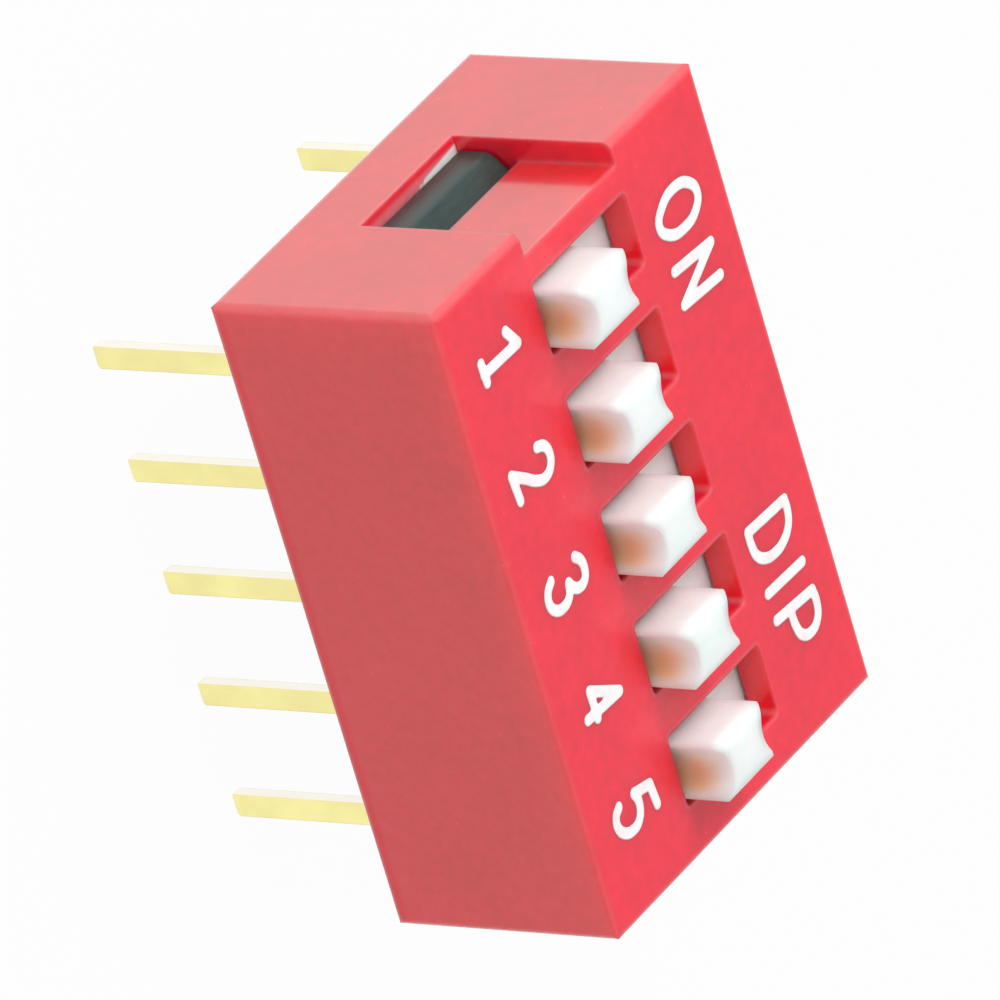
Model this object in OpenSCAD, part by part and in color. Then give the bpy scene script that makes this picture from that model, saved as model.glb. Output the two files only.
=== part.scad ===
// Slide-type DIP switch for through-hole boards.
// Origin: centre of the seating plane, the lower rim of the cover.
// +X runs from position 1 to the last, +Y from OFF to ON, +Z up towards the knobs.
// All sizes are in millimetres. Every slider is drawn at OFF.

/* [Layout] */
// Number of switch positions
positions = 5; // [1:1:12]
// Distance from one position to the next
pitch = 2.54; // [2.3:0.01:3.2]
// Distance between the two rows of pins, centre to centre
row_spacing = 7.62; // [7.2:0.01:8.2]
// Centre of the first position to the end face of the cover
end_margin = 1.91; // [1.85:0.01:2.4]

/* [Cover] */
// Width of the cover, across the two rows of pins
body_width = 9.8; // [9.4:0.1:12]
// Height of the cover above the seating plane
body_height = 5.25; // [4.6:0.05:6.5]
// Thickness of the top wall round the slots
top_wall = 0.65; // [0.5:0.05:0.8]
// Thickness of the two long walls
side_wall = 0.75; // [0.5:0.05:0.8]
// Thickness of the two end walls
end_wall = 0.9; // [0.75:0.05:1]
// Radius on the outer edges
edge_radius = 0.18; // [0.05:0.01:0.3]
// Width of each slot, along the row of knobs
slot_width = 1.6; // [1.4:0.05:1.65]
// Radius in the corners of each slot
slot_radius = 0.12; // [0.05:0.01:0.3]
// Radius in the upright corners of the cavity
cavity_radius = 0.25; // [0.1:0.05:0.4]

/* [End latch] */
// Width of the latch window and of the channel above it
window_width = 3.44; // [2.4:0.02:5]
// Height of the window's sill above the seating plane
window_sill = 1.6; // [1.2:0.05:1.9]
// Height of the window
window_height = 1.4; // [1:0.05:1.6]
// Depth of the channel that runs from the window up to the top face
channel_depth = 0.5; // [0.3:0.05:0.6]
// How far the latch nub stops short of the end face
nub_setback = 0.3; // [0.1:0.05:0.4]
// Height of the upright land on the latch nub, below its ramp
nub_land = 0.75; // [0.4:0.05:0.8]
// Radius of the nose where the land runs into the ramp
nub_nose = 0.3; // [0.1:0.05:0.5]
// Chamfer on the lower edge of the latch nub
nub_chamfer = 0.06; // [0.02:0.01:0.1]
// How far the latch nub is rooted in the base
nub_root = 1; // [0.5:0.1:1.2]
// Depth of the blind latch pocket inside the far end wall
pocket_depth = 0.35; // [0.2:0.05:0.5]

/* [Slider] */
// Distance a slider moves from OFF to ON
travel = 1.7; // [1.2:0.05:1.9]
// Width of the knob, along the row of knobs
knob_width = 1.3; // [1:0.05:1.35]
// Length of the knob, along its travel
knob_length = 1.75; // [1.4:0.05:1.95]
// Height of the knob above the cover
knob_height = 1.1; // [0.6:0.05:1.4]
// Radius on the knob's upright edges
knob_radius = 0.1; // [0.05:0.01:0.15]
// Radius on the edges round the knob's top
knob_top_radius = 0.23; // [0.05:0.01:0.25]
// Depth of the scoop in each end of the knob, for a pen tip
scoop_depth = 0.28; // [0.1:0.02:0.3]
// Width of flat land left on each side of a scoop
scoop_land = 0.1; // [0.08:0.01:0.2]
// Thickness of the shutter plate that closes the slot from below
plate_thickness = 0.5; // [0.4:0.05:0.6]
// How far the shutter plate reaches past the slot on every side
plate_overlap = 0.15; // [0.1:0.01:0.17]
// Radius in the corners of the shutter plate and of the cell it covers
plate_radius = 0.1; // [0.05:0.01:0.2]
// Length of the carrier block under the shutter plate
carrier_length = 2.3; // [1.8:0.05:2.6]
// Width of the carrier block
carrier_width = 1.24; // [1.1:0.02:1.28]
// Radius in the corners of the carrier block
carrier_radius = 0.15; // [0.05:0.01:0.2]

/* [Spring contact] */
// Thickness of the spring strip
spring_thickness = 0.12; // [0.1:0.01:0.15]
// Width of the spring strip
spring_width = 0.9; // [0.7:0.05:1]
// Width of the slit that splits each leg into two fingers
finger_slit = 0.16; // [0.1:0.01:0.25]
// Height of the spring, from its seat down to its feet
spring_height = 1.08; // [0.9:0.02:1.2]
// Length of the flat that seats under the carrier block
spring_flat = 1.1; // [0.9:0.05:1.4]
// Radius of the bend from the flat into each leg, at the middle of the strip
spring_bend = 0.2; // [0.15:0.01:0.25]
// Slope of the legs below the horizontal
leg_angle = 50; // [40:1:60]
// Radius of each foot, at the middle of the strip
foot_radius = 0.3; // [0.22:0.01:0.35]
// Slope of the upturned toe at the end of each foot
toe_angle = 40; // [20:1:50]
// Radius of the stake that holds the spring to the carrier block
stake_radius = 0.2; // [0.15:0.01:0.24]
// How far the formed head of the stake spreads past its shank
stake_spread = 0.12; // [0.05:0.01:0.2]
// Thickness of the formed head of the stake
stake_head = 0.08; // [0.05:0.01:0.12]

/* [Terminals] */
// Thickness of the terminal strip
lead_thickness = 0.25; // [0.2:0.01:0.3]
// Width of each pin
pin_width = 0.5; // [0.4:0.01:0.6]
// Length of each pin below the seating plane
pin_length = 3.9; // [2.5:0.1:5]
// Width of the strip inside the base, pad and shoulder
pad_width = 1; // [0.8:0.05:1.2]
// Inner radius of the bend between pad and pin
bend_radius = 0.15; // [0.1:0.01:0.2]
// Bevel at the tip of each pin
tip_bevel = 0.04; // [0.02:0.01:0.09]
// Gap between the two pads of one position
pad_gap = 0.5; // [0.35:0.05:0.6]
// Height of the inside bend's lower end, where the bare pin begins
shoulder_height = 0.9; // [0.8:0.05:1]

/* [Base] */
// Height of the contact floor above the seating plane
floor_height = 2; // [1.7:0.05:2.2]
// Width of the cell that each slider's carrier runs in
cell_width = 1.34; // [1.3:0.01:1.36]
// Room left at each end of a cell, past the spring's toe
cell_room = 0.2; // [0.1:0.05:0.3]
// Thickness of the seal under the base
seal_thickness = 0.3; // [0.2:0.05:0.4]
// How far the seal's face lies above the seating plane
seal_recess = 0.05; // [0.02:0.01:0.15]

/* [Clearances] */
// Gap round parts that slide, and between the base and the cover
fit_gap = 0.05; // [0.03:0.01:0.08]
// Gap at each end of the slot, between the knob and the cover
stop_gap = 0.02; // [0.01:0.01:0.05]
// Gap round the terminals where the base is moulded over them
mould_gap = 0.01; // [0.005:0.005:0.02]
// Height of the spring's feet above the pads
wipe_gap = 0.02; // [0.01:0.01:0.04]

/* [Hidden] */

$fn = 64;
eps = 0.01;
// How far a cut runs past the face it opens
cut = 1;

red = "#ee4a58";
black = "#2b2f30";
gold = "#e6d68a";
white = "#f4f4f0";
bronze = "#d9b56a";
resin = "#1f2224";

body_length = (positions - 1) * pitch + 2 * end_margin;
slot_length = knob_length + travel + 2 * stop_gap;
off_y = -travel / 2;

// Inside of the cover
cavity_length = body_length - 2 * end_wall;
cavity_width = body_width - 2 * side_wall;
cavity_top = body_height - top_wall;

// Stack from the seating plane up to the knobs
seal_top = seal_recess + seal_thickness;
plate_top = cavity_top - fit_gap;
plate_bottom = plate_top - plate_thickness;
base_top = plate_bottom - fit_gap;

// Shutter plate, long enough to close the slot at both ends of the travel
plate_width = slot_width + 2 * plate_overlap;
plate_length = slot_length + travel + 2 * plate_overlap;
rib_width = pitch - plate_width - 2 * fit_gap;

// Spring contact, from its feet up to its seat under the carrier block
foot_bottom = floor_height + wipe_gap;
foot_centre_z = foot_bottom + spring_thickness / 2 + foot_radius;
carrier_bottom = foot_bottom + spring_height;
leaf_z = carrier_bottom - spring_thickness / 2;
leg_top_z = leaf_z - spring_bend * (1 - cos(leg_angle));
leg_top_y = spring_flat / 2 + spring_bend * sin(leg_angle);
leg_end_z = foot_centre_z - foot_radius * cos(leg_angle);
leg_length = (leg_top_z - leg_end_z) / sin(leg_angle);
leg_end_y = leg_top_y + leg_length * cos(leg_angle);
foot_y = leg_end_y + foot_radius * sin(leg_angle);
toe_y = foot_y + (foot_radius + spring_thickness / 2) * sin(toe_angle);

// Cells and pads, from where the feet travel
cell_length = 2 * (toe_y + travel / 2 + cell_room);
gap_centre_y = foot_y;
pin_y = row_spacing / 2;

function position_x(i) = (i - (positions + 1) / 2) * pitch;

// Pins are numbered round the body: 1 upwards on the OFF side, then back along the ON side
function terminal_position(i) = i <= positions ? i : 2 * positions + 1 - i;

function on_off_side(i) = i <= positions;

function rotate_point(p, a) = [p[0] * cos(a) - p[1] * sin(a), p[0] * sin(a) + p[1] * cos(a)];

module rounded_rectangle(size, r) {
    x = size[0] / 2 - r;
    y = size[1] / 2 - r;
    square([size[0], 2 * y], center = true);
    square([2 * x, size[1]], center = true);
    for (sx = [-1, 1], sy = [-1, 1])
        translate([sx * x, sy * y])
            circle(r);
}

// Upright prism between two heights
module upright(size, r, low, high) {
    translate([0, 0, low])
        linear_extrude(high - low)
            rounded_rectangle(size, r);
}

// Outline drawn in Y and Z, extruded along X
module along_x(width) {
    rotate([90, 0, 90])
        linear_extrude(width, center = true)
            children();
}

// Outline drawn in X and Z, extruded along Y
module along_y(width) {
    rotate([90, 0, 0])
        linear_extrude(width, center = true)
            children();
}

// ---- Cover ----

module cover_shell() {
    intersection() {
        upright([body_length, body_width], edge_radius, 0, body_height);
        along_x(body_length)
            translate([0, body_height / 2])
                rounded_rectangle([body_width, body_height], edge_radius);
        along_y(body_width)
            translate([0, body_height / 2])
                rounded_rectangle([body_length, body_height], edge_radius);
    }
}

module slots() {
    for (i = [1:positions])
        translate([position_x(i), 0, 0])
            upright([slot_width, slot_length], slot_radius, cavity_top - cut, body_height + cut);
}

// Ribs under the top wall, one between each two shutter plates
module guide_ribs() {
    for (i = [1:1:positions - 1])
        translate([position_x(i) + pitch / 2, 0, (plate_bottom + cavity_top) / 2])
            cube([rib_width, cavity_width + side_wall, cavity_top - plate_bottom + 2 * eps], center = true);
}

// Window through the end wall, with the channel that frees it from the mould
module latch_window() {
    end_x = -body_length / 2;
    translate([end_x - cut, -window_width / 2, window_sill])
        cube([end_wall + cut + eps, window_width, window_height]);
    translate([end_x - cut, -window_width / 2, window_sill + window_height - eps])
        cube([channel_depth + cut, window_width, body_height]);
}

module latch_pocket() {
    translate([cavity_length / 2 - eps, -window_width / 2, window_sill])
        cube([pocket_depth + eps, window_width, window_height]);
}

module cover() {
    color(red) {
        difference() {
            cover_shell();
            upright([cavity_length, cavity_width], cavity_radius, -cut, cavity_top);
            slots();
            latch_window();
            latch_pocket();
        }
        guide_ribs();
    }
}

// ---- Base ----

// Latch nub: a flat catch below, an upright land, a nose and a ramp that the cover rides over
module nub(root_x, tip_x, wall_x) {
    low = window_sill + fit_gap;
    top = window_sill + window_height - fit_gap;
    inward = sign(root_x - tip_x);
    ramp_angle = atan2(abs(wall_x - tip_x), top - low - nub_land);
    nose_z = low + nub_land - nub_nose * tan(ramp_angle / 2);
    nose_x = tip_x + inward * nub_nose;
    along_y(window_width - 2 * fit_gap) {
        polygon([
            [root_x, low],
            [tip_x + inward * nub_chamfer, low],
            [tip_x, low + nub_chamfer],
            [tip_x, nose_z],
            [nose_x - inward * nub_nose * cos(ramp_angle), nose_z + nub_nose * sin(ramp_angle)],
            [wall_x, top],
            [root_x, top]
        ]);
        translate([nose_x, nose_z])
            circle(nub_nose);
    }
}

module base() {
    length = cavity_length - 2 * fit_gap;
    width = cavity_width - 2 * fit_gap;
    wall_x = cavity_length / 2;
    color(black)
        difference() {
            union() {
                upright([length, width], cavity_radius - fit_gap, seal_top, base_top);
                nub(nub_root - length / 2, nub_setback - body_length / 2, -wall_x);
                nub(length / 2 - nub_root, wall_x + pocket_depth - fit_gap, wall_x);
            }
            for (i = [1:positions])
                translate([position_x(i), 0, 0])
                    upright([cell_width, cell_length], plate_radius, floor_height, base_top + cut);
            for (i = [1:2 * positions])
                terminal_strip(i, mould_gap);
        }
}

// Potting that fills the underside round the pins
module bottom_seal() {
    color(resin)
        difference() {
            upright([cavity_length - 2 * mould_gap, cavity_width - 2 * mould_gap],
                cavity_radius, seal_recess, seal_top);
            for (i = [1:2 * positions])
                terminal_strip(i, mould_gap);
        }
}

// ---- Terminals ----

// Pad, bend and pin seen from the end, outwards along X, each grown by a gap
module strip_side_view(inner_end, low, gap) {
    outer = bend_radius + lead_thickness;
    bend_y = pin_y + lead_thickness / 2 - outer;
    bend_z = floor_height - outer;
    translate([inner_end - gap, floor_height - lead_thickness - gap])
        square([bend_y - inner_end + gap, lead_thickness + 2 * gap]);
    intersection() {
        translate([bend_y, bend_z])
            difference() {
                circle(outer + gap);
                circle(bend_radius - gap);
            }
        translate([bend_y, bend_z])
            square(outer + cut);
    }
    translate([bend_y + bend_radius - gap, low])
        square([lead_thickness + 2 * gap, bend_z - low]);
}

// Pin with a bevelled tip
module pin(gap) {
    height = pin_length + shoulder_height + eps;
    translate([0, pin_y, height / 2 - pin_length])
        intersection() {
            along_x(pin_width + 2 * gap)
                bevelled_strip(lead_thickness + 2 * gap, height);
            along_y(lead_thickness + 2 * gap)
                bevelled_strip(pin_width + 2 * gap, height);
        }
}

module bevelled_strip(width, height) {
    polygon([
        [-width / 2, height / 2],
        [-width / 2, 2 * tip_bevel - height / 2],
        [tip_bevel - width / 2, -height / 2],
        [width / 2 - tip_bevel, -height / 2],
        [width / 2, 2 * tip_bevel - height / 2],
        [width / 2, height / 2]
    ]);
}

// One terminal in its place; the pad on the OFF side runs past the middle
module terminal_strip(i, gap) {
    off_side = on_off_side(i);
    inner_end = off_side ? pad_gap / 2 - gap_centre_y : pad_gap / 2 + gap_centre_y;
    translate([position_x(terminal_position(i)), 0, 0])
        mirror([0, off_side ? 1 : 0, 0]) {
            along_x(pad_width + 2 * gap)
                strip_side_view(inner_end, shoulder_height, gap);
            pin(gap);
        }
}

module terminal(i) {
    color(gold)
        terminal_strip(i, 0);
}

// ---- Sliders ----

// Knob seen from above, with a scoop for a pen tip in each end
module knob_plan() {
    chord = knob_width - 2 * scoop_land;
    scoop_radius = (chord * chord / 4 + scoop_depth * scoop_depth) / (2 * scoop_depth);
    difference() {
        rounded_rectangle([knob_width, knob_length], knob_radius);
        for (s = [-1, 1])
            translate([0, s * (knob_length / 2 - scoop_depth + scoop_radius)])
                circle(scoop_radius);
    }
}

// Upright block with rounded top edges
module rounded_top(width, height, r) {
    translate([-width / 2, 0])
        square([width, height - r]);
    translate([r - width / 2, 0])
        square([width - 2 * r, height]);
    for (s = [-1, 1])
        translate([s * (width / 2 - r), height - r])
            circle(r);
}

module knob() {
    low = plate_top - plate_thickness / 2;
    height = body_height + knob_height - low;
    translate([0, 0, low])
        intersection() {
            linear_extrude(height)
                knob_plan();
            along_x(knob_width)
                rounded_top(knob_length, height, knob_top_radius);
            along_y(knob_length)
                rounded_top(knob_width, height, knob_top_radius);
        }
}

// Stake through the spring's hole, formed over into a head that holds it
module stake() {
    leaf_bottom = carrier_bottom - spring_thickness;
    translate([0, 0, leaf_bottom - eps])
        cylinder(r = stake_radius, h = spring_thickness + 2 * eps);
    translate([0, 0, leaf_bottom - stake_head])
        cylinder(r = stake_radius + stake_spread, h = stake_head);
}

module slider(i) {
    color(white)
        translate([position_x(i), off_y, 0]) {
            knob();
            upright([plate_width, plate_length], plate_radius, plate_bottom, plate_top);
            upright([carrier_width, carrier_length], carrier_radius, carrier_bottom, plate_bottom + eps);
            stake();
        }
}

// ---- Spring contacts ----

// Middle line of one half of the spring, as [point, heading], from its flat to its toe
function spring_line() = concat(
    [for (a = [0:10:leg_angle]) [
        [spring_flat / 2 + spring_bend * sin(a), leaf_z - spring_bend * (1 - cos(a))],
        -a
    ]],
    [for (a = [-leg_angle:10:toe_angle]) [
        [foot_y + foot_radius * sin(a), foot_centre_z - foot_radius * cos(a)],
        a
    ]]
);

// Point at a distance to the left of the line
function beside(step, distance) = step[0] + rotate_point([0, distance], step[1]);

function reversed(list) = [for (i = [len(list) - 1:-1:0]) list[i]];

// Whole strip seen from the side, the second half mirrored from the first
module spring_side_view() {
    line = spring_line();
    upper = [for (step = line) beside(step, spring_thickness / 2)];
    lower = [for (step = line) beside(step, -spring_thickness / 2)];
    half = concat(lower, reversed(upper));
    other_half = [for (p = reversed(half)) [-p[0], p[1]]];
    polygon(concat(half, other_half));
}

module spring_contact(i) {
    color(bronze)
        translate([position_x(i), off_y, 0])
            difference() {
                along_x(spring_width)
                    spring_side_view();
                translate([0, 0, leaf_z])
                    cylinder(r = stake_radius + wipe_gap, h = 1, center = true);
                for (s = [-1, 1])
                    translate([0, s * (leg_top_y + toe_y), leaf_z])
                        cube([finger_slit, 2 * toe_y, 4], center = true);
            }
}

cover();
base();
bottom_seal();
for (i = [1:2 * positions])
    terminal(i);
for (i = [1:positions])
    slider(i);
for (i = [1:positions])
    spring_contact(i);
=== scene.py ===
"""Finishes, printed legends and a small studio for a five-position slide DIP switch."""

import math

import bpy
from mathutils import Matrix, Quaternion, Vector


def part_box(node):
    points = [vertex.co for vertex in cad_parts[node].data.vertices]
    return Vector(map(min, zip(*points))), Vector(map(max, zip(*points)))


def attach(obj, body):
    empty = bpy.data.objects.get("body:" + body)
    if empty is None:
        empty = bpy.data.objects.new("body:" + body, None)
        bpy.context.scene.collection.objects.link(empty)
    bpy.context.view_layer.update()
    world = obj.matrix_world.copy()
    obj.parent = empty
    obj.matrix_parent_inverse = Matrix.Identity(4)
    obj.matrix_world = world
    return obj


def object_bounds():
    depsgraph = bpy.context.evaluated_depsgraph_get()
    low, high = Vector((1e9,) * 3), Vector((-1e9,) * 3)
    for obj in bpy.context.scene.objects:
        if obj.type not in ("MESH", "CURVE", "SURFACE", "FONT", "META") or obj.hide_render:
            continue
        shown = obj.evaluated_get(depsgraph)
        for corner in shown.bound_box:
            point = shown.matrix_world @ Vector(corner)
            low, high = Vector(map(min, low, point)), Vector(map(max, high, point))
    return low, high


bl_info = {
    "name": "Slide DIP Switch",
    "version": (1, 0, 0),
    "blender": (4, 5, 0),
    "location": "3D View > Sidebar > DIP Switch",
    "description": "Moulded, plated and printed finishes for a slide DIP switch, with its studio",
    "category": "Object",
}

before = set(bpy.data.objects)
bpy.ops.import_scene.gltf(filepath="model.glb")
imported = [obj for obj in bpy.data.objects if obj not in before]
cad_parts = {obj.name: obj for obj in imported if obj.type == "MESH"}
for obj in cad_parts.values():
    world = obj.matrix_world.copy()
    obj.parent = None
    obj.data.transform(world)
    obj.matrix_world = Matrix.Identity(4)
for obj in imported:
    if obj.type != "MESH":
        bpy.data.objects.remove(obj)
cad_low, cad_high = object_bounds()

MM = 0.001
COVER_LOW, COVER_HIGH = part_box("cover")
SLIDERS = sorted(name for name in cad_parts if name.startswith("slider_"))
TERMINALS = sorted(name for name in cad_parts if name.startswith("terminal_"))
SPRINGS = sorted(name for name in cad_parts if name.startswith("spring_contact_"))

# Places on the cover, in millimetres. The first is the end face at position 1
COVER_END = COVER_LOW.x / MM
END_SKIN = 0.7  # From either end face in past the floor of the channel
SLOT_REACH = 1.85  # From the middle line out past the ends of the slots
SIDE_REACH = 4.0  # From the middle line; only the long sides lie further out
RIM_TOP, RIM_FULL = 0.4, 0.2  # Heights between which the painted glow on the lower rim sets in
SILL_LIMIT = 2.0  # Height; the window's sill is the only ledge in view below it

# A Mix node's colour sockets share their names with others, so they go by number
MIX_A, MIX_B, MIXED = 6, 7, 2

VOXEL = 0.02  # Millimetres to a cell where the pen strokes flow together
FLAT_TOP = 0.6  # Share of a stroke's half width at which its top is cut flat
SENSOR = 36  # Width of the camera's sensor in millimetres


# ---- Legends: centre lines of the pen strokes, as parts of the character's height ----
# A "bow" is a smooth stroke, a "rule" a straight one, and a "ring" a closed smooth one.

CHARACTERS = {
    "O": [("ring", [(0.36, 1.07), (0.57, 0.93), (0.66, 0.56), (0.56, 0.17),
                    (0.33, 0), (0.1, 0.19), (0, 0.57), (0.12, 0.93)])],
    "N": [("rule", [(0, 0), (0.08, 1), (0.56, 0), (0.63, 1)])],
    "D": [("rule", [(0, 0), (0.05, 1.04)]),
          ("bow", [(0.05, 1.04), (0.26, 1.04), (0.46, 0.95), (0.6, 0.73), (0.63, 0.5),
                   (0.57, 0.23), (0.41, 0.05), (0.2, 0), (0, 0)])],
    "I": [("rule", [(0, 0), (0.035, 0.98)])],
    "P": [("rule", [(0, 0), (0.08, 1)]),
          ("bow", [(0.08, 1), (0.3, 1.02), (0.53, 0.93), (0.62, 0.71),
                   (0.53, 0.48), (0.32, 0.39), (0.05, 0.38)])],
    "1": [("rule", [(0, 0.74), (0.3, 0.94), (0.28, 0)]),
          ("rule", [(0.11, 0), (0.42, 0.02)])],
    "2": [("bow", [(0, 0.76), (0.07, 0.92), (0.25, 1), (0.43, 0.93),
                   (0.5, 0.76), (0.44, 0.56), (0.25, 0.3), (0.05, 0.02)]),
          ("rule", [(0.05, 0.02), (0.48, 0.06)])],
    "3": [("bow", [(-0.02, 0.86), (0.1, 0.97), (0.26, 1), (0.4, 0.94),
                   (0.44, 0.79), (0.37, 0.65), (0.24, 0.56)]),
          ("bow", [(0.24, 0.56), (0.42, 0.49), (0.49, 0.29), (0.41, 0.08),
                   (0.25, 0), (0.09, 0.05), (-0.01, 0.18)])],
    "4": [("rule", [(0.35, 0), (0.39, 0.88), (0, 0.22), (0.45, 0.23)])],
    "5": [("rule", [(0.47, 1.02), (0.11, 0.98), (0.02, 0.57)]),
          ("bow", [(0.02, 0.57), (0.13, 0.62), (0.28, 0.62), (0.44, 0.52), (0.49, 0.35),
                   (0.42, 0.12), (0.25, 0), (0.09, 0.03), (0, 0.15)])],
}

# Each legend: its characters, with each one's lower left corner in millimetres
LEGENDS = {
    "legend_on": [("O", -5.1, 2.49), ("N", -3.63, 2.55)],
    "legend_dip": [("D", 2.18, 2.43), ("I", 3.61, 2.5), ("P", 4.23, 2.53)],
    "position_numbers": [("1", -5.52, -3.9), ("2", -3.01, -4.02), ("3", -0.45, -4.01),
                         ("4", 2.1, -3.9), ("5", 4.62, -3.97)],
}


def srgb(code):
    """Linear colour of an sRGB hex value."""
    parts = [int(code[i:i + 2], 16) / 255 for i in (1, 3, 5)]
    return tuple(p / 12.92 if p <= 0.04045 else ((p + 0.055) / 1.055) ** 2.4 for p in parts)


# ---- What a user would change ----

def paint(name, description, code):
    """A colour in the sidebar, from its sRGB hex value."""
    return bpy.props.FloatVectorProperty(
        name=name, description=description, subtype="COLOR", min=0, max=1, default=srgb(code))


class SwitchColours(bpy.types.PropertyGroup):
    """Colours of the moulded, plated and printed finishes, and of the light and shade painted on
    them
    """

    red: paint("Cover", "Red of the moulded cover", "#F2193B")
    # Painted sheen: the long sides are painted a paler red than the cover
    side_sheen: paint("Cover sides", "Drier, paler red of the cover's long sides", "#FD4046")
    # Painted highlight on the rounded edges
    highlighted: paint("Cover edges", "Pale red of the rubbed edges", "#FF8088")
    # Painted sheen and shade: the end faces get a duller, paler red for the light on them
    end_sheen_and_shade: paint("Cover ends", "Red of the cover's glossier end faces", "#E4242A")
    # Painted bounce light: a clearer red on the slots' end walls and along the lower rim
    bounce_glow: paint("Slot ends", "Clear red of the walls at the ends of the slots", "#FF1C30")
    # Painted shade on the slots' long walls
    painted_slot_shade: paint("Slot sides", "Darker red of the long walls of the slots", "#DC1434")
    # Painted shade in tan, in the knobs' scoops
    tan: paint("Scoops", "Tan that gathers in the scoops of the knobs", "#F6D0A0")
    white: paint("Sliders", "White of the moulded sliders", "#EEFBF6")
    black: paint("Base", "Black of the moulded base", "#2C3F3B")
    resin: paint("Seal", "Black of the potting resin", "#24272A")
    gold: paint("Terminals", "Gold plate on the terminals", "#FDF2A8")
    # Painted highlight on the terminals' faces towards either end of the switch
    gold_highlight: paint(
        "Terminal edges", "Paler gold on the sheared edges of the terminals", "#FFFCEE")
    bronze: paint("Springs", "Rolled bronze of the springs", "#D9A968")
    ink: paint("Ink", "White of the printed legends", "#FAF8F8")


class LegendSizes(bpy.types.PropertyGroup):
    """Sizes of the printed legends"""

    stroke: bpy.props.FloatProperty(
        name="Stroke", description="Width of every pen stroke",
        unit="LENGTH", min=0.05 * MM, max=0.4 * MM, default=0.25 * MM)
    letters: bpy.props.FloatProperty(
        name="Letters", description="Height of the letters, between stroke centres",
        unit="LENGTH", min=0.5 * MM, max=3 * MM, default=1.33 * MM)
    digits: bpy.props.FloatProperty(
        name="Digits", description="Height of the digits, between stroke centres",
        unit="LENGTH", min=0.5 * MM, max=3 * MM, default=1.33 * MM)
    film: bpy.props.FloatProperty(
        name="Ink film", description="Thickness of the ink on the cover",
        unit="LENGTH", min=0.002 * MM, max=0.05 * MM, default=0.012 * MM)


class StudioSettings(bpy.types.PropertyGroup):
    """Camera and light"""

    azimuth: bpy.props.FloatProperty(
        name="Azimuth", description="Camera's turn round the part, from straight ahead",
        subtype="ANGLE", default=math.radians(-32.94))
    elevation: bpy.props.FloatProperty(
        name="Elevation", description="Camera's height above the floor's horizon",
        subtype="ANGLE", default=math.radians(34.62))
    roll: bpy.props.FloatProperty(
        name="Roll", description="Camera's turn about its own line of sight",
        subtype="ANGLE", default=math.radians(93.42))
    distance: bpy.props.FloatProperty(
        name="Distance", description="Camera to the point it looks at",
        unit="LENGTH", default=370.1 * MM)
    aim: bpy.props.FloatVectorProperty(
        name="Aim", description="Point that the camera looks at",
        subtype="XYZ", unit="LENGTH", default=(-0.132 * MM, -0.486 * MM, 1.93 * MM))
    lens: bpy.props.FloatProperty(
        name="Lens", description=f"Focal length in millimetres on a {SENSOR} mm sensor",
        default=688.7)
    sky_top: bpy.props.FloatProperty(
        name="Sky overhead", description="Brightness of the soft dome straight above",
        default=0.72)
    sky_side: bpy.props.FloatProperty(
        name="Sky at the horizon", description="Brightness of the soft dome at eye level",
        default=0.55)
    key_power: bpy.props.FloatProperty(
        name="Key", description="Power of the soft key lamp", subtype="POWER", default=0.58)
    key_from: bpy.props.FloatVectorProperty(
        name="Key from", description="Direction from the part to the key lamp",
        subtype="DIRECTION", default=(-0.75, 0.05, 0.66))
    key_distance: bpy.props.FloatProperty(
        name="Key distance", description="Key lamp to the part",
        unit="LENGTH", default=300 * MM)
    key_size: bpy.props.FloatProperty(
        name="Key size", description="Width of the key lamp's round face",
        unit="LENGTH", default=180 * MM)
    floor_radius: bpy.props.FloatProperty(
        name="Floor", description="Radius of the round floor card",
        unit="LENGTH", default=350 * MM)


# ---- Helpers ----

def add_node(tree, kind, feeds=None, **settings):
    """Adds a node with its settings, and feeds its inputs from values or other nodes' outputs."""
    node = tree.nodes.new(kind)
    for name, value in settings.items():
        setattr(node, name, value)
    for socket, feed in (feeds or {}).items():
        if isinstance(feed, bpy.types.NodeSocket):
            tree.links.new(feed, node.inputs[socket])
        else:
            node.inputs[socket].default_value = feed
    return node


def new_material(name):
    """A material with an empty node tree and object coordinates in millimetres."""
    material = bpy.data.materials.new(name)
    material.use_nodes = True
    tree = material.node_tree
    tree.nodes.clear()
    place = add_node(tree, "ShaderNodeTexCoord")
    scaled = add_node(tree, "ShaderNodeMapping", {
        "Vector": place.outputs["Object"], "Scale": (1 / MM,) * 3})
    return material, tree, scaled.outputs["Vector"]


def close_material(tree, shader, height, strength, depth, edge=0.03 * MM):
    """Adds the broken edges, the fine relief and the output."""
    broken = add_node(tree, "ShaderNodeBevel", {"Radius": edge}, samples=4)
    relief = add_node(tree, "ShaderNodeBump", {
        "Height": height, "Strength": strength, "Distance": depth,
        "Normal": broken.outputs["Normal"]})
    tree.links.new(relief.outputs["Normal"], shader.inputs["Normal"])
    add_node(tree, "ShaderNodeOutputMaterial", {"Surface": shader.outputs["BSDF"]})


def rgba(colour, gain=1.0):
    """A colour made lighter or darker, with the fourth number that a socket takes."""
    return tuple(min(1.0, c * gain) for c in colour) + (1.0,)


def finish_nodes(names, material):
    """Gives CAD nodes one material."""
    for name in names:
        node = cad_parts[name]
        node.data.materials.clear()
        node.data.materials.append(material)


# ---- Materials ----

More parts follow.
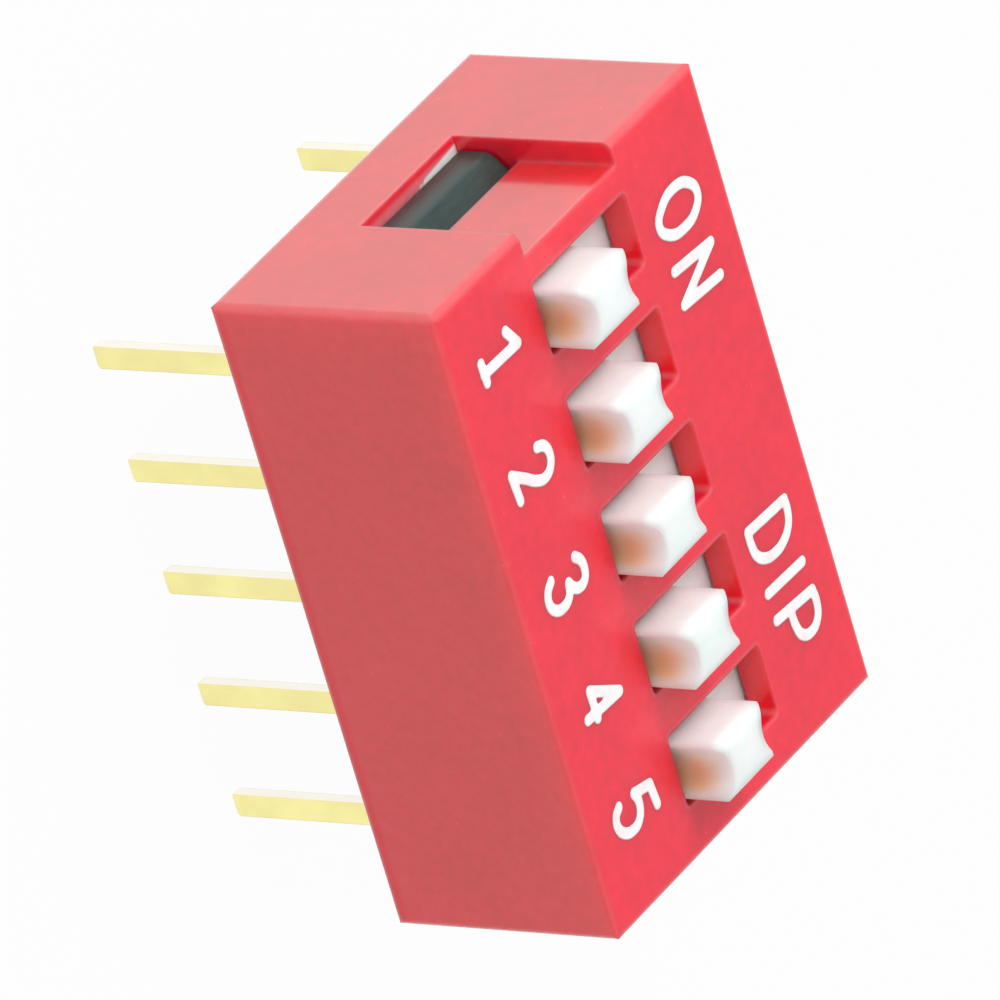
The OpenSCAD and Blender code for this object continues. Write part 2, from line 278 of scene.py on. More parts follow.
def painted_edge_highlights(tree, lean):
    """Painted highlight: how far the rounded edges are painted pale, most of all round the end
    faces.
    """
    beside_end = add_node(tree, "ShaderNodeMath", {
        0: lean.outputs["Y"], 1: 0.6, 2: lean.outputs["Z"]}, operation="MULTIPLY_ADD")
    long_edge = add_node(tree, "ShaderNodeMath", {
        0: lean.outputs["Y"], 1: lean.outputs["Z"]}, operation="MULTIPLY")
    faint_edge = add_node(tree, "ShaderNodeMath", {
        0: long_edge.outputs[0], 1: 0.45}, operation="MULTIPLY")
    edges = add_node(tree, "ShaderNodeMath", {
        0: lean.outputs["X"], 1: beside_end.outputs[0], 2: faint_edge.outputs[0]},
        operation="MULTIPLY_ADD")
    highlight = add_node(tree, "ShaderNodeMapRange", {
        "Value": edges.outputs[0], "From Min": 0.03, "From Max": 0.45, "To Max": 0.46},
        interpolation_type="SMOOTHSTEP")
    return highlight.outputs["Result"]


def cover_faces(tree, place, axes, lean):
    """Where the end faces, the slots' side walls and end walls, and the long sides are."""
    facing_end = add_node(tree, "ShaderNodeMapRange", {
        "Value": lean.outputs["X"], "From Min": 0.4, "From Max": 0.75},
        interpolation_type="SMOOTHSTEP")
    sidewise = add_node(tree, "ShaderNodeMath", {0: axes.outputs["Y"]}, operation="ABSOLUTE")
    facing_side = add_node(tree, "ShaderNodeMapRange", {
        "Value": sidewise.outputs[0], "From Min": 0.5, "From Max": 0.8},
        interpolation_type="SMOOTHSTEP")
    along = add_node(tree, "ShaderNodeMath", {0: place.outputs["X"]}, operation="ABSOLUTE")
    across = add_node(tree, "ShaderNodeMath", {0: place.outputs["Y"]}, operation="ABSOLUTE")
    near_end = add_node(tree, "ShaderNodeMath", {
        0: along.outputs[0], 1: -COVER_END - END_SKIN}, operation="GREATER_THAN")
    near_middle = add_node(tree, "ShaderNodeMath", {
        0: across.outputs[0], 1: SLOT_REACH}, operation="LESS_THAN")
    near_slots = add_node(tree, "ShaderNodeMath", {
        0: near_middle.outputs[0], 1: near_end.outputs[0]}, operation="SUBTRACT", use_clamp=True)
    near_side = add_node(tree, "ShaderNodeMath", {
        0: across.outputs[0], 1: SIDE_REACH}, operation="GREATER_THAN")
    end_gloss_and_painted_tone, slot_side, slot_end, long_side = [
        add_node(tree, "ShaderNodeMath", {
            0: near.outputs[0], 1: facing.outputs["Result"]}, operation="MULTIPLY")
        for near, facing in (
            (near_end, facing_end), (near_slots, facing_end),
            (near_slots, facing_side), (near_side, facing_side))]
    # A band along the lower rim is painted the same clear red as the slots' end walls: painted
    # bounce light
    rim = add_node(tree, "ShaderNodeMapRange", {
        "Value": place.outputs["Z"], "From Min": RIM_TOP, "From Max": RIM_FULL},
        interpolation_type="SMOOTHSTEP")
    end_or_rim = add_node(tree, "ShaderNodeMath", {
        0: slot_end.outputs[0], 1: rim.outputs["Result"]}, operation="MAXIMUM")
    return [mask.outputs[0] for mask in (end_gloss_and_painted_tone, slot_side, end_or_rim, long_side)]


def sill_glint(tree, place, axes, mottle):
    """Painted highlight: white painted on the window's sill where a glint falls.

    A white streak narrows from one end of the sill, and a faint bloom lies along the rest.
    """
    # In from the end face: where the bloom and the streak set in, and where each is full
    bloom_from, bloom_full = COVER_END + 0.08, COVER_END + 0.26
    streak_from, streak_full = COVER_END + 0.27, COVER_END + 0.36
    # Along the sill: where the streak sets in, how raggedly, and how fast it narrows
    run_from, run_full, raggedness, slant = 1.4, 2.2, 3.0, 0.08
    low = add_node(tree, "ShaderNodeMath", {
        0: place.outputs["Z"], 1: SILL_LIMIT}, operation="LESS_THAN")
    upward = add_node(tree, "ShaderNodeMath", {
        0: axes.outputs["Z"], 1: 0.7}, operation="GREATER_THAN")
    sill = add_node(tree, "ShaderNodeMath", {
        0: low.outputs[0], 1: upward.outputs[0]}, operation="MULTIPLY")
    slanted = add_node(tree, "ShaderNodeMath", {
        0: place.outputs["Y"], 1: slant, 2: place.outputs["X"]}, operation="MULTIPLY_ADD")
    inside = add_node(tree, "ShaderNodeMapRange", {
        "Value": slanted.outputs[0], "From Min": streak_from, "From Max": streak_full},
        interpolation_type="SMOOTHSTEP")
    ragged = add_node(tree, "ShaderNodeMath", {
        0: mottle.outputs["Fac"], 1: raggedness, 2: place.outputs["Y"]},
        operation="MULTIPLY_ADD")
    along = add_node(tree, "ShaderNodeMapRange", {
        "Value": ragged.outputs[0], "From Min": run_from, "From Max": run_full},
        interpolation_type="SMOOTHSTEP")
    streak = add_node(tree, "ShaderNodeMath", {
        0: inside.outputs["Result"], 1: along.outputs["Result"]}, operation="MULTIPLY")
    bloom = add_node(tree, "ShaderNodeMapRange", {
        "Value": place.outputs["X"], "From Min": bloom_from, "From Max": bloom_full,
        "To Max": 0.22}, interpolation_type="SMOOTHSTEP")
    paler = add_node(tree, "ShaderNodeMath", {
        0: streak.outputs[0], 1: bloom.outputs["Result"]}, operation="MAXIMUM")
    glint = add_node(tree, "ShaderNodeMath", {
        0: sill.outputs[0], 1: paler.outputs[0]}, operation="MULTIPLY")
    return glint.outputs[0]


def moulded_red_nylon(colours):
    """Glass-filled nylon from a spark-eroded mould: satin, with cloudy tone where it flowed."""
    material, tree, mm = new_material("moulded_red_nylon")
    # Flow clouds, about 2 mm across
    clouds = add_node(tree, "ShaderNodeTexNoise", {
        "Vector": mm, "Scale": 0.55, "Detail": 4.0, "Roughness": 0.55})
    # Glass fibre mottle, 0.3 mm across
    mottle = add_node(tree, "ShaderNodeTexNoise", {
        "Vector": mm, "Scale": 3.2, "Detail": 3.0, "Roughness": 0.6})
    # Spark-eroded grain is 0.02 mm; drawn at 0.07 mm so that it shows
    grain = add_node(tree, "ShaderNodeTexNoise", {
        "Vector": mm, "Scale": 14.0, "Detail": 2.0, "Roughness": 0.5})
    facing = add_node(tree, "ShaderNodeTexCoord")
    axes = add_node(tree, "ShaderNodeSeparateXYZ", {"Vector": facing.outputs["Normal"]})
    place = add_node(tree, "ShaderNodeSeparateXYZ", {"Vector": mm})
    # Within 0.18 mm of an edge, this normal turns towards the next face
    rounded = add_node(tree, "ShaderNodeBevel", {"Radius": 0.18 * MM}, samples=4)
    turned = add_node(tree, "ShaderNodeVectorMath", {
        0: rounded.outputs["Normal"]}, operation="ABSOLUTE")
    lean = add_node(tree, "ShaderNodeSeparateXYZ", {"Vector": turned.outputs["Vector"]})
    end_gloss_and_painted_tone, slot_side, slot_end, long_side = cover_faces(tree, place, axes, lean)
    # Painted light and shade in the base colour, layer by layer: the long sides paler for
    # sheen, the slots' end walls and the lower rim a clearer red for bounce light, the slots'
    # long walls darker for shade, the end faces and the channel's floor a duller, paler red
    # for the light on them, the rounded edges a pale highlight and the sill a white glint.
    # The end faces and the channel's floor also have a glossier skin, from the coat
    tint = rgba(colours.red)
    for share, colour in (
            (long_side, colours.side_sheen), (slot_end, colours.bounce_glow), (slot_side, colours.painted_slot_shade),
            (end_gloss_and_painted_tone, colours.end_sheen_and_shade), (painted_edge_highlights(tree, lean), colours.highlighted),
            (sill_glint(tree, place, axes, mottle), colours.ink)):
        layer = add_node(tree, "ShaderNodeMix", {
            "Factor": share, MIX_A: tint, MIX_B: rgba(colour)}, data_type="RGBA")
        tint = layer.outputs[MIXED]
    clouded = add_node(tree, "ShaderNodeMapRange", {
        "Value": clouds.outputs["Fac"], "From Min": 0.3, "From Max": 0.7,
        "To Min": 0.92, "To Max": 1.04})
    mottled = add_node(tree, "ShaderNodeMapRange", {
        "Value": mottle.outputs["Fac"], "From Min": 0.3, "From Max": 0.7,
        "To Min": 0.93, "To Max": 1.05})
    tone = add_node(tree, "ShaderNodeMath", {
        0: clouded.outputs["Result"], 1: mottled.outputs["Result"]}, operation="MULTIPLY")
    colour = add_node(tree, "ShaderNodeHueSaturation", {"Color": tint, "Value": tone.outputs[0]})
    shine = add_node(tree, "ShaderNodeMapRange", {
        "Value": mottle.outputs["Fac"], "To Min": 0.2, "To Max": 0.3})
    shader = add_node(tree, "ShaderNodeBsdfPrincipled", {
        "Base Color": colour.outputs["Color"], "Roughness": shine.outputs["Result"],
        "IOR": 1.55, "Specular IOR Level": 0.75, "Coat Weight": end_gloss_and_painted_tone,
        "Coat Roughness": 0.1, "Coat IOR": 1.57, "Subsurface Weight": 0.7,
        "Subsurface Radius": (1.0, 0.2, 0.2), "Subsurface Scale": 0.6 * MM})
    close_material(tree, shader, grain.outputs["Fac"], 0.18, 0.012 * MM, edge=0.08 * MM)
    return material


def scoop_shading(tree, mm):
    """Where painted shade, in tan, darkens the scoops of the knobs' two end faces.

    It deepens inwards to a place beside the knob's middle, and down from the knob's top,
    and is a little thinner again at the foot.
    """
    first, second = (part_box(name) for name in SLIDERS[:2])
    middle = (first[0].x + first[1].x) / 2 / MM
    pitch = (second[0].x - first[0].x) / MM
    knob_top = first[1].z / MM
    deepest = middle + 0.25
    outer, inner = 0.78, 0.05  # To either side of the deepest place
    upper, lower = knob_top - 0.12, knob_top - 0.95
    foot, above_foot = knob_top - 1.2, knob_top - 0.75
    place = add_node(tree, "ShaderNodeSeparateXYZ", {"Vector": mm})
    across = add_node(tree, "ShaderNodeMath", {
        0: place.outputs["X"], 1: middle + pitch / 2, 2: middle - pitch / 2}, operation="WRAP")
    beside = add_node(tree, "ShaderNodeMath", {
        0: across.outputs[0], 1: deepest}, operation="SUBTRACT")
    outward = add_node(tree, "ShaderNodeMath", {0: beside.outputs[0]}, operation="ABSOLUTE")
    inward = add_node(tree, "ShaderNodeMapRange", {
        "Value": outward.outputs[0], "From Min": outer, "From Max": inner},
        interpolation_type="SMOOTHSTEP")
    below = add_node(tree, "ShaderNodeMapRange", {
        "Value": place.outputs["Z"], "From Min": upper, "From Max": lower},
        interpolation_type="SMOOTHSTEP")
    lighter_foot = add_node(tree, "ShaderNodeMapRange", {
        "Value": place.outputs["Z"], "From Min": foot, "From Max": above_foot, "To Min": 0.82},
        interpolation_type="SMOOTHSTEP")
    # How strong the painted shade is at each height
    film = add_node(tree, "ShaderNodeMath", {
        0: below.outputs["Result"], 1: lighter_foot.outputs["Result"]}, operation="MULTIPLY")
    scoop = add_node(tree, "ShaderNodeMath", {
        0: inward.outputs["Result"], 1: film.outputs[0]}, operation="MULTIPLY")
    facing = add_node(tree, "ShaderNodeTexCoord")
    axes = add_node(tree, "ShaderNodeSeparateXYZ", {"Vector": facing.outputs["Normal"]})
    endwise = add_node(tree, "ShaderNodeMath", {0: axes.outputs["Y"]}, operation="ABSOLUTE")
    on_end = add_node(tree, "ShaderNodeMapRange", {
        "Value": endwise.outputs[0], "From Min": 0.5, "From Max": 0.85},
        interpolation_type="SMOOTHSTEP")
    shaded_scoops = add_node(tree, "ShaderNodeMath", {
        0: scoop.outputs[0], 1: on_end.outputs["Result"]}, operation="MULTIPLY")
    return shaded_scoops.outputs[0]


def moulded_white_acetal(colours):
    """Acetal: milky at thin edges, low sheen, with faint flow lines along the slide."""
    material, tree, mm = new_material("moulded_white_acetal")
    # Flow lines 0.5 mm apart, drawn out to 1.4 mm along the slide
    flow = add_node(tree, "ShaderNodeMapping", {"Vector": mm, "Scale": (1.6, 0.5, 1.2)})
    lines = add_node(tree, "ShaderNodeTexNoise", {
        "Vector": flow.outputs["Vector"], "Scale": 1.4, "Detail": 4.0, "Roughness": 0.55})
    # Mould grain is 0.02 mm; drawn at 0.09 mm so that it shows
    grain = add_node(tree, "ShaderNodeTexNoise", {
        "Vector": mm, "Scale": 11.0, "Detail": 2.0, "Roughness": 0.5})
    colour = add_node(tree, "ShaderNodeValToRGB", {"Fac": lines.outputs["Fac"]})
    for stop, spot, gain in zip(colour.color_ramp.elements, (0.32, 0.68), (0.94, 1.02)):
        stop.position, stop.color = spot, rgba(colours.white, gain)
    # The scoops get painted shade in tan
    with_scoop_shade = add_node(tree, "ShaderNodeMix", {
        "Factor": scoop_shading(tree, mm),
        MIX_A: colour.outputs["Color"], MIX_B: rgba(colours.tan)}, data_type="RGBA")
    shine = add_node(tree, "ShaderNodeMapRange", {
        "Value": grain.outputs["Fac"], "To Min": 0.34, "To Max": 0.46})
    shader = add_node(tree, "ShaderNodeBsdfPrincipled", {
        "Base Color": with_scoop_shade.outputs[MIXED], "Roughness": shine.outputs["Result"],
        "IOR": 1.48, "Subsurface Weight": 0.9, "Subsurface Radius": (1.0, 0.6, 0.6),
        "Subsurface Scale": 1.0 * MM})
    close_material(tree, shader, grain.outputs["Fac"], 0.12, 0.01 * MM, edge=0.3 * MM)
    return material


def moulded_black_nylon(colours):
    """Black glass-filled nylon: satin, faintly streaked by its fibres."""
    material, tree, mm = new_material("moulded_black_nylon")
    # Fibre streaks 0.17 mm apart, three times as long
    flow = add_node(tree, "ShaderNodeMapping", {"Vector": mm, "Scale": (1.0, 0.35, 1.4)})
    fibres = add_node(tree, "ShaderNodeTexNoise", {
        "Vector": flow.outputs["Vector"], "Scale": 6.0, "Detail": 4.0, "Roughness": 0.6})
    # Mould grain is 0.02 mm; drawn at 0.06 mm so that it shows
    grain = add_node(tree, "ShaderNodeTexNoise", {
        "Vector": mm, "Scale": 16.0, "Detail": 2.0, "Roughness": 0.5})
    colour = add_node(tree, "ShaderNodeValToRGB", {"Fac": fibres.outputs["Fac"]})
    for stop, spot, gain in zip(colour.color_ramp.elements, (0.3, 0.75), (0.8, 1.3)):
        stop.position, stop.color = spot, rgba(colours.black, gain)
    shine = add_node(tree, "ShaderNodeMapRange", {
        "Value": fibres.outputs["Fac"], "To Min": 0.22, "To Max": 0.4})
    shader = add_node(tree, "ShaderNodeBsdfPrincipled", {
        "Base Color": colour.outputs["Color"], "Roughness": shine.outputs["Result"], "IOR": 1.55})
    close_material(tree, shader, grain.outputs["Fac"], 0.15, 0.008 * MM)
    return material


def black_epoxy_potting(colours):
    """Epoxy that cured where it was poured: glossy, gently wavy, with a few fine pits."""
    material, tree, mm = new_material("black_epoxy_potting")
    # Waves a little over 1 mm across, and a pit every 0.8 mm
    waves = add_node(tree, "ShaderNodeTexNoise", {
        "Vector": mm, "Scale": 0.8, "Detail": 2.0, "Roughness": 0.4})
    pits = add_node(tree, "ShaderNodeTexVoronoi", {"Vector": mm, "Scale": 1.3, "Randomness": 1.0})
    pit = add_node(tree, "ShaderNodeMapRange", {
        "Value": pits.outputs["Distance"], "From Min": 0.03, "From Max": 0.1},
        interpolation_type="SMOOTHSTEP")
    height = add_node(tree, "ShaderNodeMath", {
        0: waves.outputs["Fac"], 1: pit.outputs["Result"]}, operation="ADD")
    colour = add_node(tree, "ShaderNodeValToRGB", {"Fac": waves.outputs["Fac"]})
    for stop, spot, gain in zip(colour.color_ramp.elements, (0.3, 0.7), (0.8, 1.25)):
        stop.position, stop.color = spot, rgba(colours.resin, gain)
    shine = add_node(tree, "ShaderNodeMapRange", {
        "Value": pit.outputs["Result"], "To Min": 0.6, "To Max": 0.24})
    shader = add_node(tree, "ShaderNodeBsdfPrincipled", {
        "Base Color": colour.outputs["Color"], "Roughness": shine.outputs["Result"], "IOR": 1.55})
    close_material(tree, shader, height.outputs[0], 0.6, 0.05 * MM)
    return material


def gold_plated_brass(colours):
    """Gold flash on stamped brass: pale, satin, with the die's drag lines down the pin."""
    material, tree, mm = new_material("gold_plated_brass")
    # Drag lines are 0.01 mm apart; drawn at 0.06 mm so that they show
    drag = add_node(tree, "ShaderNodeMapping", {"Vector": mm, "Scale": (1.0, 1.0, 0.06)})
    lines = add_node(tree, "ShaderNodeTexNoise", {
        "Vector": drag.outputs["Vector"], "Scale": 16.0, "Detail": 3.0, "Roughness": 0.6})
    # Uneven plating, about 1 mm across
    clouds = add_node(tree, "ShaderNodeTexNoise", {
        "Vector": mm, "Scale": 0.9, "Detail": 3.0, "Roughness": 0.5})
    colour = add_node(tree, "ShaderNodeValToRGB", {"Fac": clouds.outputs["Fac"]})
    for stop, spot, gain in zip(colour.color_ramp.elements, (0.32, 0.68), (0.92, 1.04)):
        stop.position, stop.color = spot, rgba(colours.gold, gain)
    # The faces turned towards either end of the switch get a paler gold: a painted highlight
    facing = add_node(tree, "ShaderNodeTexCoord")
    axes = add_node(tree, "ShaderNodeSeparateXYZ", {"Vector": facing.outputs["Normal"]})
    edgewise = add_node(tree, "ShaderNodeMath", {0: axes.outputs["X"]}, operation="ABSOLUTE")
    highlight_sides = add_node(tree, "ShaderNodeMapRange", {
        "Value": edgewise.outputs[0], "From Min": 0.6, "From Max": 0.9},
        interpolation_type="SMOOTHSTEP")
    plated_and_highlight = add_node(tree, "ShaderNodeMix", {
        "Factor": highlight_sides.outputs["Result"],
        MIX_A: colour.outputs["Color"], MIX_B: rgba(colours.gold_highlight)}, data_type="RGBA")
    shine = add_node(tree, "ShaderNodeMapRange", {
        "Value": lines.outputs["Fac"], "To Min": 0.24, "To Max": 0.44})
    shader = add_node(tree, "ShaderNodeBsdfPrincipled", {
        "Base Color": plated_and_highlight.outputs[MIXED], "Metallic": 1.0,
        "Roughness": shine.outputs["Result"]})
    close_material(tree, shader, lines.outputs["Fac"], 0.2, 0.006 * MM)
    return material


def rolled_bronze_strip(colours):
    """Phosphor bronze strip: warm, satin, with rolling lines along its length."""
    material, tree, mm = new_material("rolled_bronze_strip")
    # Rolling lines are 0.01 mm apart; drawn at 0.07 mm so that they show
    drag = add_node(tree, "ShaderNodeMapping", {"Vector": mm, "Scale": (1.0, 0.06, 0.3)})
    lines = add_node(tree, "ShaderNodeTexNoise", {
        "Vector": drag.outputs["Vector"], "Scale": 14.0, "Detail": 3.0, "Roughness": 0.6})
    colour = add_node(tree, "ShaderNodeValToRGB", {"Fac": lines.outputs["Fac"]})
    for stop, spot, gain in zip(colour.color_ramp.elements, (0.3, 0.7), (0.82, 1.05)):
        stop.position, stop.color = spot, rgba(colours.bronze, gain)
    shine = add_node(tree, "ShaderNodeMapRange", {
        "Value": lines.outputs["Fac"], "To Min": 0.25, "To Max": 0.45})
    shader = add_node(tree, "ShaderNodeBsdfPrincipled", {
        "Base Color": colour.outputs["Color"], "Metallic": 1.0,
        "Roughness": shine.outputs["Result"]})
    close_material(tree, shader, lines.outputs["Fac"], 0.2, 0.006 * MM)
    return material


def pad_printed_ink(colours):
    """White pad-printing ink: dry and matt, with thin places that let a little red through."""
    material, tree, mm = new_material("pad_printed_ink")
    # Thin places 0.4 mm across, and a tooth of 0.06 mm
    coverage = add_node(tree, "ShaderNodeTexNoise", {
        "Vector": mm, "Scale": 2.6, "Detail": 4.0, "Roughness": 0.6})
    grain = add_node(tree, "ShaderNodeTexNoise", {
        "Vector": mm, "Scale": 18.0, "Detail": 2.0, "Roughness": 0.5})
    thin = tuple(0.85 * i + 0.15 * r for i, r in zip(colours.ink, colours.red))
    colour = add_node(tree, "ShaderNodeValToRGB", {"Fac": coverage.outputs["Fac"]})
    for stop, spot, tone in zip(colour.color_ramp.elements, (0.28, 0.5), (thin, colours.ink)):
        stop.position, stop.color = spot, rgba(tone)
    shine = add_node(tree, "ShaderNodeMapRange", {
        "Value": grain.outputs["Fac"], "To Min": 0.5, "To Max": 0.7})
    shader = add_node(tree, "ShaderNodeBsdfPrincipled", {
        "Base Color": colour.outputs["Color"], "Roughness": shine.outputs["Result"], "IOR": 1.45})
    close_material(tree, shader, grain.outputs["Fac"], 0.2, 0.004 * MM)
    return material


def studio_floor_card():
    """Matt card that shows as white, keeps a faint shadow and is clear from below."""
    material = bpy.data.materials.new("studio_floor_card")
    material.use_nodes = True
    tree = material.node_tree
    tree.nodes.clear()
    card = add_node(tree, "ShaderNodeBsdfDiffuse", {"Color": (0.55, 0.55, 0.55, 1.0)})
    white = add_node(tree, "ShaderNodeEmission", {"Color": (1.0, 1.0, 1.0, 1.0), "Strength": 1.0})
    rays = add_node(tree, "ShaderNodeLightPath")
    seen = add_node(tree, "ShaderNodeMath", {
        0: rays.outputs["Is Camera Ray"], 1: rays.outputs["Is Glossy Ray"]}, operation="MAXIMUM")
    shown = add_node(tree, "ShaderNodeMath", {
        0: seen.outputs[0], 1: rays.outputs["Is Transmission Ray"]}, operation="MAXIMUM")
    # A little of the grey card stays in the white, so that the shadow still shows
    share = add_node(tree, "ShaderNodeMath", {
        0: shown.outputs[0], 1: 0.97}, operation="MULTIPLY")
    top = add_node(tree, "ShaderNodeMixShader", {
        0: share.outputs[0], 1: card.outputs[0], 2: white.outputs[0]})
    side = add_node(tree, "ShaderNodeNewGeometry")
    clear = add_node(tree, "ShaderNodeBsdfTransparent")
    both = add_node(tree, "ShaderNodeMixShader", {
        0: side.outputs["Backfacing"], 1: top.outputs[0], 2: clear.outputs[0]})
    add_node(tree, "ShaderNodeOutputMaterial", {"Surface": both.outputs[0]})
    return material


# ---- Legends ----

def pen_stroke(kind, points, width):
    """One stroke as a round rod with ball ends, one unit to the millimetre."""
    bpy.ops.curve.primitive_bezier_curve_add()
    rod = bpy.context.object
    curve = rod.data
    curve.splines.clear()
    spline = curve.splines.new("BEZIER")
    spline.bezier_points.add(len(points) - 1)
    handle = "VECTOR" if kind == "rule" else "AUTO"
    for knot, (x, y) in zip(spline.bezier_points, points):
        knot.co = (x, y, 0)
        knot.handle_left_type = knot.handle_right_type = handle
    spline.use_cyclic_u = kind == "ring"
    spline.resolution_u = 12
    curve.bevel_depth = width / 2
    curve.bevel_resolution = 6
    curve.use_fill_caps = True
    bpy.ops.object.convert(target="MESH")
    rods = [rod]
    for x, y in (points[0], points[-1]):
        bpy.ops.mesh.primitive_uv_sphere_add(
            segments=24, ring_count=12, radius=width / 2, location=(x, y, 0))
        rods.append(bpy.context.object)
    return rods


def printed_legend(name, characters, sizes):
    """A legend as one thin film of ink with soft edges, lying on the cover."""
    bpy.ops.object.select_all(action="DESELECT")
    width = sizes.stroke / MM
    rods = []
    for character, x, y in characters:
        height = (sizes.digits if character.isdigit() else sizes.letters) / MM
        for kind, line in CHARACTERS[character]:
            points = [(x + height * u, y + height * v) for u, v in line]
            spans = zip(points, points[1:]) if kind == "rule" else [points]
            for span in spans:
                rods += pen_stroke(kind, span, width)
    for rod in rods:
        rod.select_set(True)
    film = rods[0]
    bpy.context.view_layer.objects.active = film
    bpy.ops.object.join()
    film.name = film.data.name = name
    bpy.ops.object.transform_apply(location=True, rotation=True, scale=True)
    blob = film.modifiers.new("flow_together", "REMESH")
    blob.mode, blob.voxel_size = "VOXEL", VOXEL
    bpy.ops.object.modifier_apply(modifier=blob.name)
    soften = film.modifiers.new("soften", "SMOOTH")
    soften.factor, soften.iterations = 0.5, 2
    bpy.ops.object.modifier_apply(modifier=soften.name)
    bpy.ops.object.mode_set(mode="EDIT")
    flat_top = FLAT_TOP * width / 2
    for level, below in ((0.0, True), (flat_top, False)):
        bpy.ops.mesh.select_all(action="SELECT")
        bpy.ops.mesh.bisect(
            plane_co=(0, 0, level), plane_no=(0, 0, 1), use_fill=True,
            clear_inner=below, clear_outer=not below)
    bpy.ops.mesh.select_all(action="SELECT")
    squeeze = sizes.film / MM / flat_top
    bpy.ops.transform.resize(value=(1, 1, squeeze), center_override=(0, 0, 0))
    bpy.ops.transform.resize(value=(MM, MM, MM), center_override=(0, 0, 0))
    bpy.ops.transform.translate(value=(0, 0, COVER_HIGH.z))
    bpy.ops.object.mode_set(mode="OBJECT")
    bpy.ops.object.shade_flat()
    return film


# ---- Studio ----

def lay_floor(studio):
    """A round card under the tips of the pins."""
    bpy.ops.object.select_all(action="DESELECT")
    bpy.ops.mesh.primitive_circle_add(
        vertices=64, radius=studio.floor_radius, fill_type="NGON",
        location=(0, 0, cad_low.z))
    floor = bpy.context.object
    floor.name = "floor"
    floor.data.materials.append(studio_floor_card())


def soft_dome(studio):
    """A white world, brighter overhead than at the horizon."""
    world = bpy.data.worlds.new("soft_dome")
    world.use_nodes = True
    tree = world.node_tree
    tree.nodes.clear()
    direction = add_node(tree, "ShaderNodeTexCoord")
    axes = add_node(tree, "ShaderNodeSeparateXYZ", {"Vector": direction.outputs["Generated"]})
    level = add_node(tree, "ShaderNodeMapRange", {
        "Value": axes.outputs["Z"], "To Min": studio.sky_side, "To Max": studio.sky_top})
    dome = add_node(tree, "ShaderNodeBackground", {
        "Color": (1.0, 1.0, 1.0, 1.0), "Strength": level.outputs["Result"]})
    add_node(tree, "ShaderNodeOutputWorld", {"Surface": dome.outputs[0]})
    return world


def place_key_lamp(studio):
    """A round soft lamp that faces the part."""
    toward_key = Vector(studio.key_from).normalized()
    bpy.ops.object.light_add(type="AREA", location=toward_key * studio.key_distance)
    key = bpy.context.object
    key.name = "key_lamp"
    key.data.shape = "DISK"
    key.data.size = studio.key_size
    key.data.energy = studio.key_power
    key.rotation_mode = "QUATERNION"
    key.rotation_quaternion = (-toward_key).to_track_quat("-Z", "Y")


def place_camera(studio):
    """A camera that looks at the aim from the azimuth and elevation, and then rolls."""
    back = Vector((
        math.sin(studio.azimuth) * math.cos(studio.elevation),
        -math.cos(studio.azimuth) * math.cos(studio.elevation),
        math.sin(studio.elevation)))
    bpy.ops.object.camera_add(location=Vector(studio.aim) + back * studio.distance)
    camera = bpy.context.object
    camera.name = "camera"
    camera.rotation_mode = "QUATERNION"
    level_view = (-back).to_track_quat("-Z", "Y")
    camera.rotation_quaternion = level_view @ Quaternion((0, 0, 1), studio.roll)
    camera.data.lens = studio.lens
    camera.data.sensor_width = SENSOR
    camera.data.clip_start, camera.data.clip_end = 10 * MM, 3000 * MM
    return camera


# ---- Operators ----

class DIPSWITCH_OT_cover(bpy.types.Operator):
    """Give the cover its satin red moulding"""

    bl_idname = "dip_switch.cover"
    bl_label = "Finish the cover"

    def execute(self, context):
        finish_nodes(["cover"], moulded_red_nylon(context.scene.dip_switch_colours))
        return {"FINISHED"}


class DIPSWITCH_OT_base(bpy.types.Operator):
    """Give the base its black moulding and the seal its potting resin"""

    bl_idname = "dip_switch.base"
    bl_label = "Finish the base and seal"

    def execute(self, context):
        colours = context.scene.dip_switch_colours
        finish_nodes(["base"], moulded_black_nylon(colours))
        finish_nodes(["bottom_seal"], black_epoxy_potting(colours))
        return {"FINISHED"}


class DIPSWITCH_OT_terminals(bpy.types.Operator):
    """Give the terminals their gold plate and the springs their rolled bronze"""

    bl_idname = "dip_switch.terminals"
    bl_label = "Finish the terminals and springs"

    def execute(self, context):
        colours = context.scene.dip_switch_colours
        finish_nodes(TERMINALS, gold_plated_brass(colours))
        finish_nodes(SPRINGS, rolled_bronze_strip(colours))
        return {"FINISHED"}


class DIPSWITCH_OT_sliders(bpy.types.Operator):
    """Give the sliders their white moulding"""

    bl_idname = "dip_switch.sliders"
    bl_label = "Finish the sliders"

    def execute(self, context):
        finish_nodes(SLIDERS, moulded_white_acetal(context.scene.dip_switch_colours))
        return {"FINISHED"}


class DIPSWITCH_OT_legends(bpy.types.Operator):
    """Print the legends and the position numbers on the cover"""

    bl_idname = "dip_switch.legends"
    bl_label = "Print the legends"

    def execute(self, context):
        ink = pad_printed_ink(context.scene.dip_switch_colours)
        for name, characters in LEGENDS.items():
            film = printed_legend(name, characters, context.scene.dip_switch_legends)
            film.data.materials.append(ink)
            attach(film, "housing")
        return {"FINISHED"}


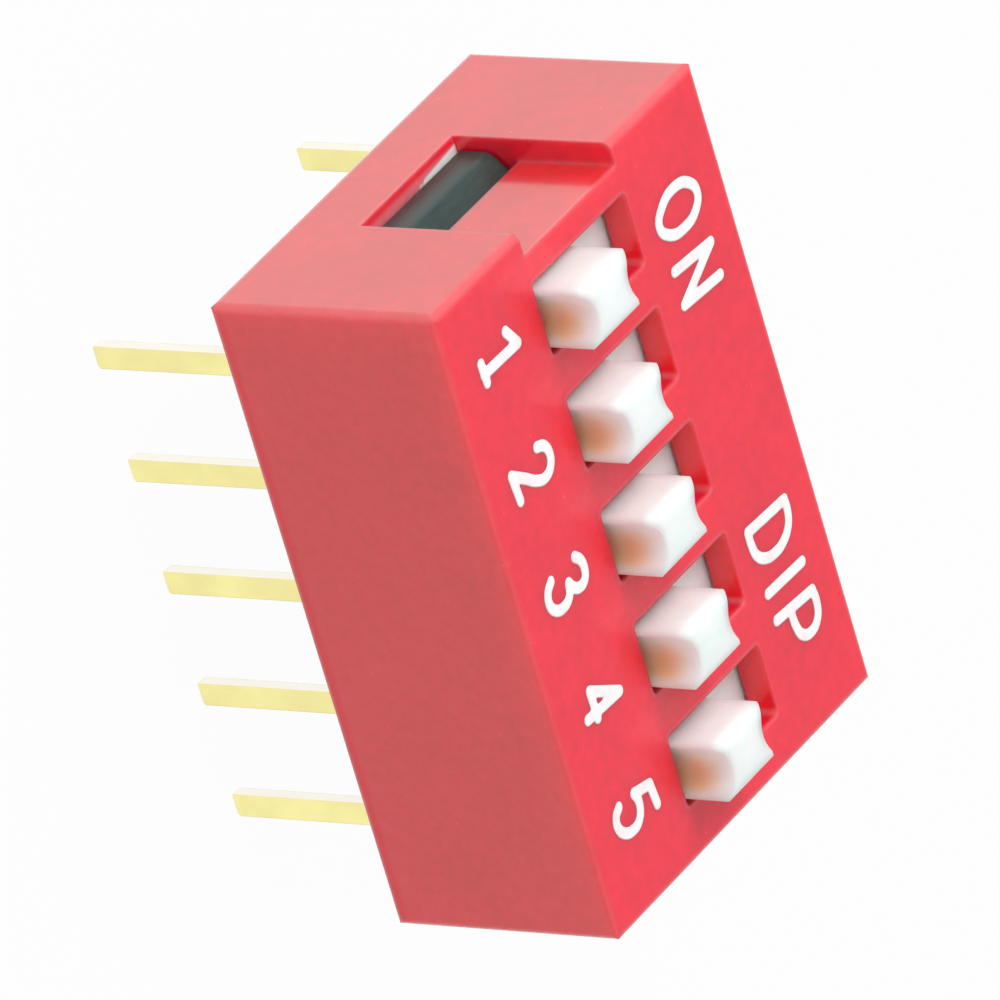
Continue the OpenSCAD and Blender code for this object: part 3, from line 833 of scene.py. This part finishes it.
class DIPSWITCH_OT_stage(bpy.types.Operator):
    """Lay the floor, set the light and place the camera"""

    bl_idname = "dip_switch.stage"
    bl_label = "Set the stage"

    def execute(self, context):
        studio = context.scene.dip_switch_studio
        lay_floor(studio)
        context.scene.world = soft_dome(studio)
        place_key_lamp(studio)
        context.scene.camera = place_camera(studio)
        context.scene.view_settings.view_transform = "Standard"
        return {"FINISHED"}


class DIPSWITCH_PT_panel(bpy.types.Panel):
    """Steps that finish the switch, in order"""

    bl_idname = "DIPSWITCH_PT_panel"
    bl_label = "DIP Switch"
    bl_space_type = "VIEW_3D"
    bl_region_type = "UI"
    bl_category = "DIP Switch"

    def draw(self, context):
        for step in OPERATORS:
            self.layout.operator(step.bl_idname)
        for group in ("dip_switch_colours", "dip_switch_legends", "dip_switch_studio"):
            box = self.layout.box()
            settings = getattr(context.scene, group)
            for name in settings.bl_rna.properties.keys():
                if name not in ("rna_type", "name"):
                    box.prop(settings, name)


SETTINGS = {
    "dip_switch_colours": SwitchColours,
    "dip_switch_legends": LegendSizes,
    "dip_switch_studio": StudioSettings,
}
OPERATORS = (
    DIPSWITCH_OT_cover,
    DIPSWITCH_OT_base,
    DIPSWITCH_OT_terminals,
    DIPSWITCH_OT_sliders,
    DIPSWITCH_OT_legends,
    DIPSWITCH_OT_stage,
)


def register():
    for group in SETTINGS.values():
        bpy.utils.register_class(group)
    for step in OPERATORS:
        bpy.utils.register_class(step)
    bpy.utils.register_class(DIPSWITCH_PT_panel)
    for name, group in SETTINGS.items():
        setattr(bpy.types.Scene, name, bpy.props.PointerProperty(type=group))


def unregister():
    for name in SETTINGS:
        delattr(bpy.types.Scene, name)
    bpy.utils.unregister_class(DIPSWITCH_PT_panel)
    for step in reversed(OPERATORS):
        bpy.utils.unregister_class(step)
    for group in reversed(list(SETTINGS.values())):
        bpy.utils.unregister_class(group)


def main():
    register()
    bpy.ops.dip_switch.cover()
    bpy.ops.dip_switch.base()
    bpy.ops.dip_switch.terminals()
    bpy.ops.dip_switch.sliders()
    bpy.ops.dip_switch.legends()
    bpy.ops.dip_switch.stage()


if __name__ == "__main__":
    main()
